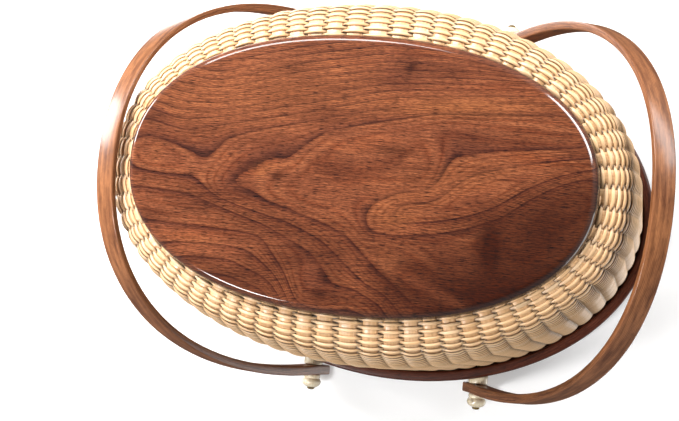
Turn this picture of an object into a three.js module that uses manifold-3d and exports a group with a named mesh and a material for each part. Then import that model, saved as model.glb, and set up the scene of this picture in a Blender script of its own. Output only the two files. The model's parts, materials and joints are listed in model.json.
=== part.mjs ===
// Oval cane basket with a walnut base board, a walnut rim and two swing handles.
// Millimetres, +Z up. The underside of the base board lies on z = 0 and the origin is at its centre.
// X runs along the oval, Y across it, and both handles turn about axes parallel to Y.
import * as THREE from 'three';
import { mergeVertices } from 'three/addons/utils/BufferGeometryUtils.js';
import Module from 'manifold-3d';

const wasm = await Module();
wasm.setup();

// Base board
const BASE_LENGTH = 236;
const BASE_WIDTH = 140;
const BASE_POWER = 2.2; // superellipse power of the base outline, 2 is a plain ellipse
const BASE_ROUND_INSET = 4.4; // round-over of the lower edge, across
const BASE_ROUND_HEIGHT = 8.4; // and up
const BASE_EDGE_BAND = 0.6; // upright band between the round-over and the stave groove
const BASE_LIP_HEIGHT = 3; // lip above the stave groove
const BASE_LIP_INSET = 2.6; // how far that lip stands back from the outer edge
const BASE_DOME_RISE = 2; // the top swells from its lip to its middle
const BASE_DOME_INSET = 16; // width of that swell
const GROOVE_DEPTH = 6;

// Woven wall: staves and weavers as one ribbed shell
const STAVES = 69; // each shows as an upright rib, inside and outside
const RIB_HEIGHT = 1.1; // how far the weave swells over a stave
const RIB_SHOULDER = 0.2; // of the stave spacing, half the flat top of a rib
const WALL_THICKNESS = 3.4; // over the ribs
const WALL_CORNER_HEIGHT = 11; // the sharp turn up from the base board
const WALL_CORNER_SHARE = 0.44; // of the outward growth, made in that corner
const WALL_BELLY_HEIGHT = 40; // the wall leans out up to this height
const WALL_BELLY_SHARE = 0.26; // of the outward growth, made by that lean
const WALL_BELLY_POWER = 1.5; // how soon the lean dies out
const WALL_POWER = 2; // the wall is a plain ellipse at the rim

// Rim
const RIM_LENGTH = 304;
const RIM_WIDTH = 220;
const RIM_TOP = 199;
const HOOP_HEIGHT = 14;
const OUTER_HOOP_THICKNESS = 6.5;
const INNER_HOOP_THICKNESS = 4.5;
const HOOP_EASE = 1.4; // eased long edges of both hoops
const CAP_THICKNESS = 2.4;
const CAP_INSET = 1.2; // the cap stands back from both hoop faces
const CAP_EASE = 0.7;

// Handles
const PIVOT_X = 53.6; // each handle's axis from the middle of the basket
const HANDLE_WIDTH = 11.5; // along the hoop's own axis
const HANDLE_END_THICKNESS = 6;
const HANDLE_CROWN_THICKNESS = 3.2;
const HANDLE_TAIL = 11.7; // past the pivot
const HANDLE_EASE = 0.7;
const HANDLE_LEG_FLARE = 0.054; // radians, the legs spread as they leave the pivots
const HANDLE_LEG_FULLNESS = 0.63; // of the reach, how long the legs stay straight
const HANDLE_CROWN_FULLNESS = 0.68; // of the half spacing, how flat the crown is
const CROWN_HEIGHT = 5.5; // middle of the left crown above the table
const CROWN_END_CLEARANCE = 12.4; // left crown from the end of the base board
const RIGHT_HANDLE_LIFT = 5.2; // degrees, the right handle hangs this much higher

// Pivots: pin, spacer, knob and inner washer
const PIN_DIAMETER = 3;
const SPACER_DIAMETER = 12;
const SPACER_MIDDLE = 4.1; // rim to handle, on the pivot axis
const KNOB_DIAMETER = 12;
const KNOB_LENGTH = 8.6;
const KNOB_FOOT_DIAMETER = 10.6;
const KNOB_FOOT_HEIGHT = 2;
const KNOB_WAIST_DIAMETER = 9.5; // the shallow groove between foot and ball
const KNOB_WAIST_HEIGHT = 2.5;
const PIN_HEAD_DIAMETER = 5;
const PIN_HEAD_HEIGHT = 1.3;
const PIN_HEAD_SIDE = 0.5; // upright side of a peened head
const PIN_HEAD_TOP_DIAMETER = 3; // flat top of a peened head
const WASHER_DIAMETER = 9;
const WASHER_THICKNESS = 2;
const WASHER_EASE = 0.5;

// Clearances between touching pieces
const GAP = 0.3;
const PIN_CLEARANCE = 0.3;
const SAME_POINT = 1e-4; // corners closer than this are one

// Facets
const RING_STEPS = 56;
const OUTLINE_STEPS = 720; // for measuring along the wall's top edge
const CORNER_STEPS = 6;
const WALL_CORNER_STEPS = 4;
const BELLY_STEPS = 3;
const STRAIGHT_STEPS = 1;
const HANDLE_STEPS = 14;
const TURNED_STEPS = 14;
const BALL_STEPS = 6;

// Places worked out from the sizes above
const baseHalf = { length: BASE_LENGTH / 2, width: BASE_WIDTH / 2, power: BASE_POWER };
const rimHalf = { length: RIM_LENGTH / 2, width: RIM_WIDTH / 2, power: WALL_POWER };
const hoopBottom = RIM_TOP - HOOP_HEIGHT;
const pivotZ = RIM_TOP - HOOP_HEIGHT / 2;
const grooveBottom = BASE_ROUND_HEIGHT + BASE_EDGE_BAND;
const grooveTop = grooveBottom + WALL_THICKNESS + 2 * GAP;
const wallFootZ = (grooveBottom + grooveTop) / 2;
const wallTopInset = OUTER_HOOP_THICKNESS + GAP + WALL_THICKNESS / 2;
const innerHoopOuterInset = OUTER_HOOP_THICKNESS + GAP + WALL_THICKNESS + GAP;
const innerHoopInset = innerHoopOuterInset + INNER_HOOP_THICKNESS;
const pinRadius = PIN_DIAMETER / 2;
const pinHoleRadius = pinRadius + PIN_CLEARANCE;

const rimFaceY = ovalY(rimHalf.length, rimHalf.width, PIVOT_X);
const handleInnerY = rimFaceY + SPACER_MIDDLE;
const handleMiddleY = handleInnerY + HANDLE_END_THICKNESS / 2;
const handleOuterY = handleInnerY + HANDLE_END_THICKNESS;
const crownOut = baseHalf.length + CROWN_END_CLEARANCE - PIVOT_X;
const crownDown = pivotZ - CROWN_HEIGHT;
const handleReach = Math.hypot(crownOut, crownDown);
const leftHang = Math.atan2(crownDown, crownOut);
const rightHang = leftHang - THREE.MathUtils.degToRad(RIGHT_HANDLE_LIFT);

const walnut = (colour) => new THREE.MeshStandardMaterial({ color: colour, roughness: 0.4, metalness: 0 });
const bone = () => new THREE.MeshStandardMaterial({ color: 0xe9dcbd, roughness: 0.35, metalness: 0 });
const cane = () => new THREE.MeshStandardMaterial({ color: 0xe3c894, roughness: 0.5, metalness: 0 });
const brass = () => new THREE.MeshStandardMaterial({ color: 0x9b8457, roughness: 0.35, metalness: 1 });

// Y of an ellipse with these half axes at a given x
function ovalY(halfLength, halfWidth, x) {
  return halfWidth * Math.sqrt(1 - (x / halfLength) ** 2);
}

// A point of a superellipse at height z
function ovalPoint({ length, width, power, z }, angle) {
  const bend = (value) => Math.sign(value) * Math.abs(value) ** (2 / power);
  return [length * bend(Math.cos(angle)), width * bend(Math.sin(angle)), z];
}

// One ring of a superellipse, counter-clockwise from above
const ovalRing = (oval) => Array.from(
  { length: RING_STEPS },
  (_, i) => ovalPoint(oval, (2 * Math.PI * i) / RING_STEPS),
);

// A solid through rings of equal counts, given counter-clockwise as seen with the outside on the right.
// A ring solid closes on itself, a board closes on two middle points.
function ringSolid(rings, isBoard = false) {
  const points = rings.flat();
  const steps = rings[0].length;
  const at = (ring, step) => ring * steps + (step % steps);
  const index = [];
  const bands = isBoard ? rings.length - 1 : rings.length;
  for (let ring = 0; ring < bands; ring++) {
    const next = (ring + 1) % rings.length;
    for (let step = 0; step < steps; step++) {
      const [a, b] = [at(ring, step), at(ring, step + 1)];
      const [c, d] = [at(next, step + 1), at(next, step)];
      index.push(a, b, c, a, c, d);
    }
  }
  if (isBoard) {
    const last = rings.length - 1;
    const middleOf = ([[, , z]]) => [0, 0, z];
    const bottom = points.push(middleOf(rings[0])) - 1;
    const top = points.push(middleOf(rings[last])) - 1;
    for (let step = 0; step < steps; step++) {
      index.push(bottom, at(0, step + 1), at(0, step));
      index.push(top, at(last, step), at(last, step + 1));
    }
  }
  const geometry = new THREE.BufferGeometry();
  geometry.setAttribute('position', new THREE.Float32BufferAttribute(points.flat(), 3));
  geometry.setIndex(index);
  return geometry;
}

const ovalSolid = (section, isBoard) => ringSolid(section.map(ovalRing), isBoard);

// A rim section point: inset from the rim's outermost oval, at height z
const rimPoint = (inset, z) => ({
  length: rimHalf.length - inset,
  width: rimHalf.width - inset,
  power: rimHalf.power,
  z,
});

// Booleans on closed geometries
function toSolid(geometry) {
  const bare = geometry.clone();
  bare.deleteAttribute('normal');
  bare.deleteAttribute('uv');
  const merged = mergeVertices(bare, SAME_POINT);
  return new wasm.Manifold(new wasm.Mesh({
    numProp: 3,
    vertProperties: new Float32Array(merged.attributes.position.array),
    triVerts: new Uint32Array(merged.index.array),
  }));
}

function toGeometry(solid) {
  const mesh = solid.getMesh();
  const geometry = new THREE.BufferGeometry();
  geometry.setAttribute('position', new THREE.Float32BufferAttribute(mesh.vertProperties, 3));
  geometry.setIndex(new THREE.Uint32BufferAttribute(mesh.triVerts, 1));
  return geometry;
}

const cut = (geometry, ...tools) => toGeometry(
  tools.reduce((solid, tool) => solid.subtract(toSolid(tool)), toSolid(geometry)),
);

// The mirror image across x = 0, with its faces turned back to point out
function mirrorX(geometry) {
  const mirrored = geometry.clone().scale(-1, 1, 1);
  const index = mirrored.index.array;
  for (let k = 0; k < index.length; k += 3) {
    [index[k], index[k + 1]] = [index[k + 1], index[k]];
  }
  return mirrored;
}

// A round bar along Y
const barAlongY = (radius, length, x, y, z) =>
  new THREE.CylinderGeometry(radius, radius, length, TURNED_STEPS).translate(x, y, z);

// Both pin holes through everything that a handle's axis passes
const pinHoles = [-1, 1].map((side) =>
  barAlongY(pinHoleRadius, 2 * RIM_WIDTH, side * PIVOT_X, 0, pivotZ));

function basePlate() {
  const ring = (inset, z) => ({
    length: baseHalf.length - inset,
    width: baseHalf.width - inset,
    power: baseHalf.power,
    z,
  });
  const roundOver = Array.from({ length: CORNER_STEPS }, (_, k) => {
    const turn = (Math.PI / 2) * (k / (CORNER_STEPS - 1));
    return ring(BASE_ROUND_INSET * (1 - Math.sin(turn)), BASE_ROUND_HEIGHT * (1 - Math.cos(turn)));
  });
  const lipTop = grooveTop + BASE_LIP_HEIGHT;
  return ovalSolid([
    ...roundOver,
    ring(0, grooveBottom),
    ring(GROOVE_DEPTH, grooveBottom),
    ring(GROOVE_DEPTH, grooveTop),
    ring(BASE_LIP_INSET, grooveTop),
    ring(BASE_LIP_INSET, grooveTop + BASE_LIP_HEIGHT / 2),
    ring(BASE_LIP_INSET + BASE_LIP_HEIGHT / 2, lipTop),
    ring(BASE_LIP_INSET + BASE_DOME_INSET, lipTop + BASE_DOME_RISE),
  ], true);
}

// Middle of the wall: out of the groove level, round a quarter ellipse, leaning out over a soft belly,
// then nearly straight to the rim
function wallMiddle() {
  const top = rimPoint(wallTopInset, 0);
  const at = (share, z, inset = 0) => ({
    length: THREE.MathUtils.lerp(baseHalf.length, top.length, share) - inset,
    width: THREE.MathUtils.lerp(baseHalf.width, top.width, share) - inset,
    power: THREE.MathUtils.lerp(baseHalf.power, top.power, share),
    z,
  });
  const share = (corner, z) => {
    const rise = z - wallFootZ;
    const belly = 1 - (1 - Math.min(rise / WALL_BELLY_HEIGHT, 1)) ** WALL_BELLY_POWER;
    const flare = rise / (hoopBottom - wallFootZ);
    const flareShare = 1 - WALL_CORNER_SHARE - WALL_BELLY_SHARE;
    return WALL_CORNER_SHARE * corner + WALL_BELLY_SHARE * belly + flareShare * flare;
  };
  const corner = Array.from({ length: WALL_CORNER_STEPS + 1 }, (_, k) => {
    const turn = (Math.PI / 2) * (k / WALL_CORNER_STEPS);
    const z = wallFootZ + WALL_CORNER_HEIGHT * (1 - Math.cos(turn));
    return at(share(Math.sin(turn), z), z);
  });
  const run = (low, high, steps) => Array.from({ length: steps }, (_, k) => {
    const z = THREE.MathUtils.lerp(low, high, (k + 1) / steps);
    return at(share(1, z), z);
  });
  const cornerTop = wallFootZ + WALL_CORNER_HEIGHT;
  const bellyTop = wallFootZ + WALL_BELLY_HEIGHT;
  return [
    at(0, wallFootZ, GROOVE_DEPTH - GAP),
    ...corner,
    ...run(cornerTop, bellyTop, BELLY_STEPS),
    ...run(bellyTop, hoopBottom, STRAIGHT_STEPS),
    at(1, RIM_TOP),
  ];
}

// The wall's middle moved square to itself, out for the outer face and in for the inner one
function wallFace(middle, offset) {
  return middle.map((point, k) => {
    const before = middle[Math.max(k - 1, 0)];
    const after = middle[Math.min(k + 1, middle.length - 1)];
    const out = (after.length - before.length + after.width - before.width) / 2;
    const up = after.z - before.z;
    const size = Math.hypot(out, up);
    const [moveOut, moveUp] = [(offset * up) / size, (-offset * out) / size];
    const isTop = k === middle.length - 1;
    return {
      length: point.length + (isTop ? offset : moveOut),
      width: point.width + (isTop ? offset : moveOut),
      power: point.power,
      z: point.z + (isTop ? 0 : moveUp),
    };
  });
}

// The wall's top edge, which the staves divide into equal lengths
class WallTopEdge extends THREE.Curve {
  arcLengthDivisions = OUTLINE_STEPS;

  getPoint(share) {
    return new THREE.Vector3(...ovalPoint(rimPoint(wallTopInset, RIM_TOP), 2 * Math.PI * share));
  }
}

// Angles round the wall: the shoulders of each rib, with the valley between one stave and the next
function ribAngles() {
  const topEdge = new WallTopEdge();
  const places = [
    { past: RIB_SHOULDER, isValley: false },
    { past: 1 / 2, isValley: true },
    { past: 1 - RIB_SHOULDER, isValley: false },
  ];
  return Array.from({ length: STAVES }, (_, stave) => places.map(({ past, isValley }) => ({
    angle: 2 * Math.PI * topEdge.getUtoTmapping((stave + past) / STAVES),
    isValley,
  }))).flat();
}

function wovenWall() {
  const middle = wallMiddle();
  const angles = ribAngles();
  const ribTop = WALL_THICKNESS / 2;
  const ribbedFace = (side) => {
    const tops = wallFace(middle, side * ribTop);
    const valleys = wallFace(middle, side * (ribTop - RIB_HEIGHT));
    return middle.map((_, k) => angles.map(
      ({ angle, isValley }) => ovalPoint(isValley ? valleys[k] : tops[k], angle),
    ));
  };
  return cut(ringSolid([...ribbedFace(1), ...ribbedFace(-1).reverse()]), ...pinHoles);
}

// A flat hoop with eased edges, between two insets from the rim's outermost oval
function hoop(outerInset, innerInset, low, high, ease) {
  return ovalSolid([
    rimPoint(innerInset, low + ease),
    rimPoint(innerInset - ease, low),
    rimPoint(outerInset + ease, low),
    rimPoint(outerInset, low + ease),
    rimPoint(outerInset, high - ease),
    rimPoint(outerInset + ease, high),
    rimPoint(innerInset - ease, high),
    rimPoint(innerInset, high - ease),
  ]);
}

// The hoop's centre line in its own plane: x away from the pivots, y across.
// A cubic curve runs from each pivot to the crown.
function handleLine() {
  const pivot = new THREE.Vector2(0, handleMiddleY);
  const leg = handleReach * HANDLE_LEG_FULLNESS;
  const legEnd = new THREE.Vector2(
    leg * Math.cos(HANDLE_LEG_FLARE),
    handleMiddleY + leg * Math.sin(HANDLE_LEG_FLARE),
  );
  const crownSide = new THREE.Vector2(handleReach, handleMiddleY * HANDLE_CROWN_FULLNESS);
  const crown = new THREE.Vector2(handleReach, 0);
  const half = new THREE.CubicBezierCurve(pivot, legEnd, crownSide, crown);
  const points = half.getPoints(HANDLE_STEPS);
  points[0] = pivot;
  const tail = new THREE.Vector2(-HANDLE_TAIL, handleMiddleY);
  const upper = [tail, ...points];
  const lower = upper.slice(0, -1).reverse().map((p) => new THREE.Vector2(p.x, -p.y));
  return [...upper, ...lower];
}

// The hoop's side outline, thick at the pivots and thin at the crown, given the strip's width
function handleHoop() {
  const line = handleLine();
  const thickness = (p) => {
    const along = THREE.MathUtils.smoothstep(p.x, HANDLE_TAIL, handleReach);
    return THREE.MathUtils.lerp(HANDLE_END_THICKNESS, HANDLE_CROWN_THICKNESS, along);
  };
  const side = (sign) => line.map((p, k) => {
    const before = line[Math.max(k - 1, 0)];
    const after = line[Math.min(k + 1, line.length - 1)];
    const isLeg = p.x <= 0;
    const across = isLeg
      ? new THREE.Vector2(0, Math.sign(p.y))
      : new THREE.Vector2(before.y - after.y, after.x - before.x).normalize();
    return p.clone().addScaledVector(across, (sign * thickness(p)) / 2);
  });
  const outline = new THREE.Shape([...side(1), ...side(-1).reverse()]);
  const strip = new THREE.ExtrudeGeometry(outline, {
    depth: HANDLE_WIDTH - 2 * HANDLE_EASE,
    bevelEnabled: true,
    bevelThickness: HANDLE_EASE,
    bevelSize: HANDLE_EASE,
    bevelOffset: -HANDLE_EASE,
    bevelSegments: 1,
  }).translate(0, 0, HANDLE_EASE - HANDLE_WIDTH / 2);
  return cut(strip, barAlongY(pinHoleRadius, 2 * RIM_WIDTH, 0, 0, 0));
}

// Turned pieces: radius and height along the pivot axis, outwards
const turned = (profile) => new THREE.LatheGeometry(
  profile.map(([radius, height]) => new THREE.Vector2(radius, height)),
  TURNED_STEPS,
);

// A bone knob: a foot, a shallow waist and a ball, bored for the pin
function knob() {
  const ballRadius = KNOB_DIAMETER / 2;
  const low = Math.asin(KNOB_WAIST_DIAMETER / KNOB_DIAMETER);
  const ballHalf = (KNOB_LENGTH - KNOB_WAIST_HEIGHT) / (1 + Math.cos(low));
  const ballMiddle = KNOB_LENGTH - ballHalf;
  const high = Math.PI - Math.asin(pinHoleRadius / ballRadius);
  const ball = Array.from({ length: BALL_STEPS + 1 }, (_, k) => {
    const turn = THREE.MathUtils.lerp(low, high, k / BALL_STEPS);
    return [ballRadius * Math.sin(turn), ballMiddle - ballHalf * Math.cos(turn)];
  });
  const tip = ball[BALL_STEPS];
  return turned([
    [pinHoleRadius, 0],
    [KNOB_FOOT_DIAMETER / 2, 0],
    [KNOB_FOOT_DIAMETER / 2, KNOB_FOOT_HEIGHT],
    ...ball.slice(0, -1),
    [pinHoleRadius, tip[1]],
    [pinHoleRadius, 0],
  ]);
}

// A spacer between rim and handle, hollowed to the rim's curve
function spacer() {
  const outerY = handleInnerY - GAP;
  const length = outerY - rimFaceY + SPACER_DIAMETER;
  const blank = barAlongY(SPACER_DIAMETER / 2, length, PIVOT_X, outerY - length / 2, pivotZ);
  const rimBody = ovalSolid([
    rimPoint(-GAP, pivotZ - HOOP_HEIGHT),
    rimPoint(-GAP, pivotZ + HOOP_HEIGHT),
  ], true);
  return cut(blank, rimBody, pinHoles[1]).translate(-PIVOT_X, 0, -pivotZ);
}

// Where the inner washer's outer face clears the inner hoop, which bends across the washer
const innerHoopHalf = rimPoint(innerHoopInset, pivotZ);
const washerOuterY = ovalY(innerHoopHalf.length, innerHoopHalf.width, PIVOT_X + WASHER_DIAMETER / 2) - GAP;
const washerInnerY = washerOuterY - WASHER_THICKNESS;

function innerWasher() {
  const radius = WASHER_DIAMETER / 2;
  return turned([
    [pinHoleRadius, 0],
    [radius - WASHER_EASE, 0],
    [radius, WASHER_EASE],
    [radius, WASHER_THICKNESS],
    [pinHoleRadius, WASHER_THICKNESS],
    [pinHoleRadius, 0],
  ]).translate(0, washerInnerY, 0);
}

// A riveted pin: a head against the inner washer and one past the knob's tip
function pivotPin() {
  const headRadius = PIN_HEAD_DIAMETER / 2;
  const topRadius = PIN_HEAD_TOP_DIAMETER / 2;
  const tipY = handleOuterY + GAP + KNOB_LENGTH + GAP;
  const headY = washerInnerY - GAP;
  return turned([
    [0, headY - PIN_HEAD_HEIGHT],
    [topRadius, headY - PIN_HEAD_HEIGHT],
    [headRadius, headY - PIN_HEAD_SIDE],
    [headRadius, headY],
    [pinRadius, headY],
    [pinRadius, tipY],
    [headRadius, tipY],
    [headRadius, tipY + PIN_HEAD_SIDE],
    [topRadius, tipY + PIN_HEAD_HEIGHT],
    [0, tipY + PIN_HEAD_HEIGHT],
  ]);
}

const basket = new THREE.Group();

function add(parent, name, geometry, material) {
  const mesh = new THREE.Mesh(geometry, material);
  mesh.name = name;
  parent.add(mesh);
  return mesh;
}

add(basket, 'base_plate', basePlate(), walnut(0x6b3d24));
add(basket, 'woven_wall', wovenWall(), cane());
add(basket, 'rim_outer_hoop', cut(
  hoop(0, OUTER_HOOP_THICKNESS, hoopBottom, RIM_TOP, HOOP_EASE), ...pinHoles,
), walnut(0x3f221b));
add(basket, 'rim_inner_hoop', cut(
  hoop(innerHoopOuterInset, innerHoopInset, hoopBottom, RIM_TOP, HOOP_EASE), ...pinHoles,
), walnut(0x3f221b));
add(basket, 'rim_cap', hoop(
  CAP_INSET, innerHoopInset - CAP_INSET, RIM_TOP + GAP, RIM_TOP + GAP + CAP_THICKNESS, CAP_EASE,
), walnut(0x45261c));

// One handle and its two pivots at each end of the basket.
// The front of each pair is on the +Y side, and the back is the same piece turned half round.
const handles = [
  { side: 'left', x: -PIVOT_X, turn: Math.PI - leftHang },
  { side: 'right', x: PIVOT_X, turn: rightHang },
];
for (const { side, x, turn } of handles) {
  const hinge = new THREE.Group();
  hinge.position.set(x, 0, pivotZ);
  basket.add(hinge);
  const hoopGroup = new THREE.Group();
  hoopGroup.rotation.y = turn;
  hinge.add(hoopGroup);
  add(hoopGroup, `handle_${side}`, handleHoop(), walnut(0x7a4a2e));
  for (const end of ['front', 'back']) {
    const pivot = new THREE.Group();
    pivot.rotation.z = end === 'front' ? 0 : Math.PI;
    hinge.add(pivot);
    // The spacer's hollow follows the rim, so its deep side faces the basket's end
    const facesRight = (x > 0) === (end === 'front');
    const wedge = add(pivot, `spacer_${side}_${end}`, spacer(), bone());
    if (!facesRight) {
      wedge.geometry = mirrorX(wedge.geometry);
    }
    const knobMesh = add(pivot, `knob_${side}_${end}`, knob(), bone());
    knobMesh.position.y = handleOuterY + GAP;
    add(pivot, `inner_washer_${side}_${end}`, innerWasher(), bone());
    add(pivot, `pivot_pin_${side}_${end}`, pivotPin(), brass());
  }
}

export default basket;
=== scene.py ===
"""Oval cane basket on a walnut base board, with a walnut rim and two bentwood swing handles on bone knobs.

Metres in the model's own frame: X along the oval, Y across it, Z up, the base board's underside on z = 0.
Each piece is a surface worked out as whole arrays. It stands for its CAD node, on whose body it rides.
"""
import json

import bpy
import numpy as np
from mathutils import Matrix, Vector


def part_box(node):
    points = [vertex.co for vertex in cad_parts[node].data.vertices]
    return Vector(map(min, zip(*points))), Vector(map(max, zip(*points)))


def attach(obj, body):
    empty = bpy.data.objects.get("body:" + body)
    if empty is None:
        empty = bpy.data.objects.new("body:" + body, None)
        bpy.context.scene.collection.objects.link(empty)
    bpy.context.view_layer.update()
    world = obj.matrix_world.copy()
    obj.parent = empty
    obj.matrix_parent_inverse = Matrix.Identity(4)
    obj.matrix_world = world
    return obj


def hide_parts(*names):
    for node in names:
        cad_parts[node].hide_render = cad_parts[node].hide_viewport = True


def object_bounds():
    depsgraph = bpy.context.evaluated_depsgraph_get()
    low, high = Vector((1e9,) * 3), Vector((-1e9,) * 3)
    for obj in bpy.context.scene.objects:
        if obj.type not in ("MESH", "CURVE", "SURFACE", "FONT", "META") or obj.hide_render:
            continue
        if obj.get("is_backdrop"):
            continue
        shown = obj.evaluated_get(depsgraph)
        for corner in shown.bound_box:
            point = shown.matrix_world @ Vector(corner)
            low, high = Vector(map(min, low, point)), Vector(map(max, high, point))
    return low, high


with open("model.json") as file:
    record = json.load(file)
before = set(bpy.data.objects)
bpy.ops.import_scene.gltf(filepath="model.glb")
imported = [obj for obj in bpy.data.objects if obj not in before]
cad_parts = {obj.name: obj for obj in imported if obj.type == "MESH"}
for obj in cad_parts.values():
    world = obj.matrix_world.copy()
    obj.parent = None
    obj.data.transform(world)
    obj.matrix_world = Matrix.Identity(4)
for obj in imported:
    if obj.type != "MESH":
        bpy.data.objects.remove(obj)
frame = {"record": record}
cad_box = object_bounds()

MM = 0.001
SEED = 7
GAP = 0.3 * MM  # between touching pieces, as in the solids

# Places read from the frame
base_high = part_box("base_plate")[1]
hoop_low, hoop_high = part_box("rim_outer_hoop")
inner_low, inner_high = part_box("rim_inner_hoop")
cap_low, cap_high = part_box("rim_cap")
wall_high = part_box("woven_wall")[1]
pivots = {
    joint["child"]: Vector(joint["pos_m"])
    for joint in frame["record"]["behaviour"]["joints"]
}
BASE_HALF = np.array([base_high.x, base_high.y])
RIM_HALF = np.array([hoop_high.x, hoop_high.y])
INNER_HOOP_HALF = np.array([inner_high.x, inner_high.y])
CAP_HALF = np.array([cap_high.x, cap_high.y])
WALL_TOP_HALF = np.array([wall_high.x, wall_high.y])

# Base board
BASE_POWER = 2.2  # superellipse power of its outline, 2 is a plain ellipse
BASE_ROUND_INSET = 4.4 * MM  # round-over of the lower edge
BASE_ROUND_HEIGHT = 8.4 * MM
GROOVE_LOW = 9 * MM
GROOVE_HIGH = 13 * MM
GROOVE_DEPTH = 6 * MM
GROOVE_EASE = 0.4 * MM  # of the edge below the groove
LIP_INSET = 2.6 * MM
LIP_TOP = 16 * MM
LIP_ROUND = 1.5 * MM
DOME_INSET = 18.6 * MM
RING_SLOPE = 0.25  # the growth rings lean through the board's thickness
RING_PULL = 0.9 * MM  # a ring turns the fibres a little its own way
EDGE_STAIN_AND_SHADE = 0.65  # darker lower edge: end grain drinks more finish, plus painted shade
EDGE_STAIN_AND_SHADE_LOW = 1.2 * MM  # the darkening begins at this height
EDGE_STAIN_AND_SHADE_HIGH = 3.5 * MM  # and is full at this one

# Woven wall
WALL_THICKNESS = 3.4 * MM
WALL_FOOT = 11 * MM  # height at which the staves leave the base board
WALL_CORNER_HEIGHT = 11 * MM  # the sharp turn up from the base board
WALL_CORNER_SHARE = 0.44  # of the outward growth, made in that corner
WALL_BELLY_HEIGHT = 40 * MM  # the wall leans out up to this height
WALL_BELLY_SHARE = 0.26  # of the outward growth, made by that lean
WALL_BELLY_POWER = 1.5  # how soon the lean dies out
STAVES = 69  # odd, so that one weaver goes over and under by turns all the way up
STAVE_WIDTH_SHARE = 0.72  # of the stave spacing
STAVE_THICKNESS = 1.4 * MM
STAVE_EDGE_THICKNESS = 0.3 * MM
STAVE_FOOT = 5.2 * MM  # length inside the base board's groove
STAVE_DARK_LOW = 2 * MM  # up the wall, where the staves begin to lie in the weave's shade
STAVE_DARK_HIGH = 34 * MM  # and where they do so fully
ROW_PITCH = 1.75 * MM
FIRST_ROW = -0.4 * MM  # the first row starts just under the base board's edge
WEAVER_WIDTH = 2.05 * MM
WEAVER_TUCKED_WIDTH = 1.6 * MM  # between two staves, where the rows cross
WEAVER_THICKNESS = 1.25 * MM
WEAVER_SWING = 1.2 * MM  # of its middle, in front of a stave and behind the next
WEAVER_FLATTENING = 0.25  # of that swing's crests
WEAVER_WOBBLE = 0.07 * MM  # of its height, from stave to stave
WEAVER_PIECES = 5

# Rim
OUTER_HOOP_THICKNESS = 6.5 * MM
INNER_HOOP_THICKNESS = 4.5 * MM
CAP_WIDTH = 11.1 * MM
RIM_POWER = 2  # superellipse power of its outline
OUTER_HOOP_EASE = 1.8 * MM
INNER_HOOP_EASE = 1.6 * MM
CAP_EASE = 0.9 * MM
HOOP_RING_SPACING = 5 * MM
CAP_RING_SPACING = 4 * MM

# Handles
HANDLE_WIDTH = 11.5 * MM
HANDLE_END_THICKNESS = 6 * MM
HANDLE_CROWN_THICKNESS = 3.2 * MM
HANDLE_TAIL = 11.7 * MM
HANDLE_EASE = 0.8 * MM
HANDLE_LEG_FLARE = 0.054  # radians
HANDLE_LEG_FULLNESS = 0.63
HANDLE_CROWN_FULLNESS = 0.68
CROWN_HEIGHT = 5.5 * MM
CROWN_END_CLEARANCE = 12.4 * MM
RIGHT_HANDLE_LIFT = 5.2  # degrees

# Pivots
SPACER_LENGTH = 4.1 * MM  # rim to handle, on the pivot axis
SPACER_RADIUS = 6 * MM
KNOB_RADIUS = 6 * MM
KNOB_LENGTH = 8.6 * MM
KNOB_FOOT_RADIUS = 5.3 * MM
KNOB_FOOT_HEIGHT = 2 * MM
KNOB_WAIST_RADIUS = 4.75 * MM
KNOB_WAIST_HEIGHT = 2.5 * MM
PIN_RADIUS = 1.5 * MM
PIN_HOLE_RADIUS = 1.8 * MM
PIN_HEAD_RADIUS = 2.5 * MM
PIN_HEAD_HEIGHT = 1.3 * MM
WASHER_RADIUS = 4.5 * MM
WASHER_THICKNESS = 2 * MM

# Photograph's camera, seen from below the basket
IMAGE_WIDTH = 679
FOCAL_PIXELS = 1174.2
SENSOR_WIDTH = 36
CAMERA_AT = Vector((117.5, 55.3, -557.1)) * MM
CAMERA_TARGET = Vector((-4.7, 18.4, 0)) * MM
CAMERA_UP = Vector((0, -1, 0))
CAMERA_ROLL = -5.92  # degrees
CAMERA_NEAR = 10 * MM


def bent_power(value, power):
    """value raised to 2 / power with its sign kept, which turns cosine and sine into a superellipse."""
    return np.sign(value) * np.abs(value) ** (2 / power)


def oval(angle, half, power=2.0):
    """Points of a superellipse: half length times bent cosine, half width times bent sine."""
    return half[..., 0] * bent_power(np.cos(angle), power), half[..., 1] * bent_power(np.sin(angle), power)


def full_turn(steps):
    """Equal angles once round."""
    return np.linspace(0, 2 * np.pi, steps, endpoint=False)


def ellipse_y(x, half):
    """Y of an ellipse at x."""
    return half[1] * np.sqrt(1 - (x / half[0]) ** 2)


def lengths_along(points):
    """The length along a line of points up to each of them."""
    return np.concatenate([[0], np.cumsum(np.linalg.norm(np.diff(points, axis=0), axis=1))])


def smoothstep(value, low, high):
    """0 below low, 1 above high, and 3s^2 - 2s^3 between."""
    share = np.clip((value - low) / (high - low), 0, 1)
    return share * share * (3 - 2 * share)


def arc(start, end, centre, radii, steps):
    """Points of an elliptic arc from one angle to another, in degrees."""
    turn = np.radians(np.linspace(start, end, steps))
    return np.stack([centre[0] + radii[0] * np.cos(turn), centre[1] + radii[1] * np.sin(turn)], axis=-1)


def rounded_rectangle(half_wide, half_thick, ease, steps=5):
    """Closed outlines of four quarter arcs of radius ease, counter-clockwise, as (wide, thick) points."""
    quarter = np.radians(np.linspace(0, 90, steps))
    turn = np.concatenate([quarter + k * np.pi / 2 for k in range(4)])
    wide = np.repeat([1, -1, -1, 1], steps) * (half_wide - ease) + ease * np.cos(turn)
    thick = np.repeat([1, 1, -1, -1], steps) * (half_thick - ease) + ease * np.sin(turn)
    return np.stack(np.broadcast_arrays(wide, thick), axis=-1)


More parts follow.
